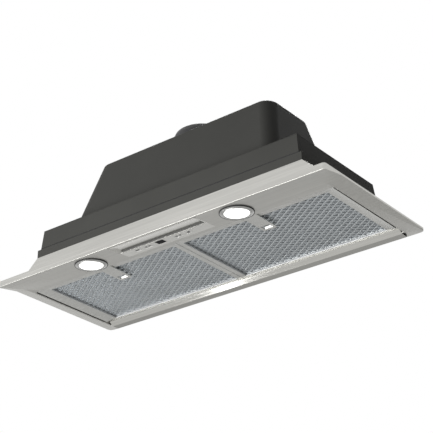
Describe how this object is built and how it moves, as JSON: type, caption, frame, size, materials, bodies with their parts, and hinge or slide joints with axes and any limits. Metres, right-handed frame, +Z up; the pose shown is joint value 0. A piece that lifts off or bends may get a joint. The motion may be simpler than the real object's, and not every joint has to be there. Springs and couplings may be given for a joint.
{
  "type": "built-in range hood",
  "caption": "Built-in canopy range hood: steel frame with lamps, keys and tilting grease filters below a dark housing with a blower and a round duct outlet.",
  "frame": {"origin": "centre of the four cabinet screw holes, on the seat face that meets the underside of the cabinet", "axes": "+Z up to the duct, +X along the length, -Y to the front with the keys and lamps"},
  "size_m": [0.77, 0.3206, 0.2712],
  "materials": {
    "steel": "satin",
    "lamp_steel": "satin",
    "housing": "satin",
    "black_plastic": "matte",
    "fastener": "satin",
    "motor": "satin",
    "rubber": "matte",
    "aluminium": "satin",
    "mesh": "satin",
    "latch": "satin",
    "lens": "gloss",
    "lamp_body": "matte",
    "strip": "satin",
    "display": "gloss",
    "board": "satin",
    "component": "matte"
  },
  "bodies": {
    "hood": {"fascia_frame": "steel", "collar": "steel", "base_band": "housing", "lower_housing": "housing", "lower_roof": "housing", "upper_housing": "housing", "upper_roof": "housing", "upper_screws": "fastener", "outlet_collar": "black_plastic", "flap_pin": "fastener", "scroll_case": "black_plastic", "scroll_cover_left": "black_plastic", "scroll_cover_right": "black_plastic", "motor_bracket": "motor", "motor_bushes": "rubber", "motor_body": "motor", "motor_screws": "fastener", "electronics_box": "black_plastic", "electronics_lid": "black_plastic", "power_board": "board", "capacitor": "component", "terminal_block": "component", "cable_gland": "black_plastic", "gland_nut": "black_plastic", "lamp_driver": "lamp_body", "lamp_ring_left": "lamp_steel", "lamp_ring_right": "lamp_steel", "lamp_lens_left": "lens", "lamp_lens_right": "lens", "lamp_body_left": "lamp_body", "lamp_body_right": "lamp_body", "control_trough": "steel", "control_strip": "strip", "display_window": "display", "display_module": "component", "control_board": "board", "button_switches": "component"},
    "impeller": {"impeller": "black_plastic", "impeller_rings": "black_plastic", "impeller_blades": "black_plastic", "motor_shaft": "fastener"},
    "flap_front": {"flap_front": "black_plastic"},
    "flap_back": {"flap_back": "black_plastic"},
    "filter_left": {"filter_frame_left": "aluminium", "filter_mesh_left": "mesh", "filter_core_left": "mesh"},
    "latch_left": {"latch_left": "latch"},
    "filter_right": {"filter_frame_right": "aluminium", "filter_mesh_right": "mesh", "filter_core_right": "mesh"},
    "latch_right": {"latch_right": "latch"},
    "button_off": {"button_off": "strip"},
    "button_less": {"button_less": "strip"},
    "button_more": {"button_more": "strip"},
    "button_lamp": {"button_lamp": "strip"}
  },
  "joints": [
    {"name": "impeller_spin", "type": "hinge", "parent": "hood", "child": "impeller", "pos_m": [0, -0.003, 0.152], "axis": [1, 0, 0], "continuous": true},
    {"name": "flap_front_hinge", "type": "hinge", "parent": "hood", "child": "flap_front", "pos_m": [0, -0.003, 0.2403], "axis": [1, 0, 0], "range_deg": [-80, 0]},
    {"name": "flap_back_hinge", "type": "hinge", "parent": "hood", "child": "flap_back", "pos_m": [0, -0.003, 0.2403], "axis": [1, 0, 0], "range_deg": [0, 80]},
    {"name": "filter_left_tilt", "type": "hinge", "parent": "hood", "child": "filter_left", "pos_m": [-0.1759, 0.119, -0.00165], "axis": [1, 0, 0], "range_deg": [0, 75]},
    {"name": "latch_left_slide", "type": "slide", "parent": "filter_left", "child": "latch_left", "axis": [0, 1, 0], "range_m": [0, 0.008], "stiffness_N_per_m": 400},
    {"name": "filter_right_tilt", "type": "hinge", "parent": "hood", "child": "filter_right", "pos_m": [0.1759, 0.119, -0.00165], "axis": [1, 0, 0], "range_deg": [0, 75]},
    {"name": "latch_right_slide", "type": "slide", "parent": "filter_right", "child": "latch_right", "axis": [0, 1, 0], "range_m": [0, 0.008], "stiffness_N_per_m": 400},
    {"name": "button_off_press", "type": "slide", "parent": "hood", "child": "button_off", "axis": [0, -0.0652, 0.9979], "range_m": [0, 0.0006], "stiffness_N_per_m": 800},
    {"name": "button_less_press", "type": "slide", "parent": "hood", "child": "button_less", "axis": [0, -0.0652, 0.9979], "range_m": [0, 0.0006], "stiffness_N_per_m": 800},
    {"name": "button_more_press", "type": "slide", "parent": "hood", "child": "button_more", "axis": [0, -0.0652, 0.9979], "range_m": [0, 0.0006], "stiffness_N_per_m": 800},
    {"name": "button_lamp_press", "type": "slide", "parent": "hood", "child": "button_lamp", "axis": [0, -0.0652, 0.9979], "range_m": [0, 0.0006], "stiffness_N_per_m": 800}
  ]
}
